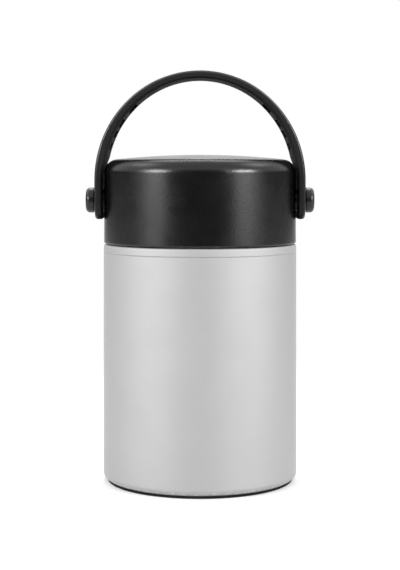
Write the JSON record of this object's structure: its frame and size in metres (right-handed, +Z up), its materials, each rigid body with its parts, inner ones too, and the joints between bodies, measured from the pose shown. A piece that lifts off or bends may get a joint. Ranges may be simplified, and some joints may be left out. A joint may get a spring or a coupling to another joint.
{
  "type": "insulated food jar",
  "caption": "Double-walled steel food jar with a black screw lid and an upright strap handle that swings on two side pivots.",
  "frame": {"origin": "centre of the foot pad's underside, on the jar's own axis, where the jar stands", "axes": "+Z up the jar's axis to the handle; X along the handle's pivot axis; the handle stands upright and swings towards -Y (positive) and +Y (negative)"},
  "size_m": [0.1142, 0.096, 0.2029],
  "materials": {
    "satin_steel": "light grey satin with a very fine grain",
    "vessel_steel": "fine turned stainless steel",
    "copper_foil": "bright copper-coloured foil",
    "seal_glass": "fused grey glass solder",
    "getter_metal": "pressed metal pill",
    "foot_rubber": "matt black silicone rubber",
    "black_plastic": "satin black moulded plastic with a fine grain",
    "liner_plastic": "smooth dark grey moulded plastic",
    "foam": "pale cellular foam",
    "silicone": "translucent pale silicone",
    "strap_plastic": "satin black moulded plastic",
    "button_plastic": "smooth black moulded plastic",
    "insert_brass": "turned brass",
    "fastener_steel": "turned stainless steel",
    "washer_nylon": "smooth nylon"
  },
  "bodies": {
    "jar": {"outer_shell": "satin_steel", "inner_vessel": "vessel_steel", "reflective_foil": "copper_foil", "base_cap": "vessel_steel", "vacuum_seal": "seal_glass", "getter_capsule": "getter_metal", "foot_pad": "foot_rubber"},
    "lid": {"lid_cover": "black_plastic", "lid_liner": "liner_plastic", "lid_foam": "foam", "lid_gasket": "silicone", "pivot_insert_left": "insert_brass", "pivot_screw_left": "fastener_steel", "pivot_washer_left": "washer_nylon", "pivot_button_left": "button_plastic", "pivot_insert_right": "insert_brass", "pivot_screw_right": "fastener_steel", "pivot_washer_right": "washer_nylon", "pivot_button_right": "button_plastic"},
    "handle": {"handle_strap": "strap_plastic", "pivot_bush_left": "fastener_steel", "pivot_bush_right": "fastener_steel"}
  },
  "joints": [
    {"name": "lid_lift", "type": "slide", "parent": "jar", "child": "lid", "axis": [0, 0, 1], "range_m": [0, 0.06]},
    {"name": "handle_swing", "type": "hinge", "parent": "lid", "child": "handle", "pos_m": [0, 0, 0.13875], "axis": [1, 0, 0], "range_deg": [-112, 112]}
  ]
}
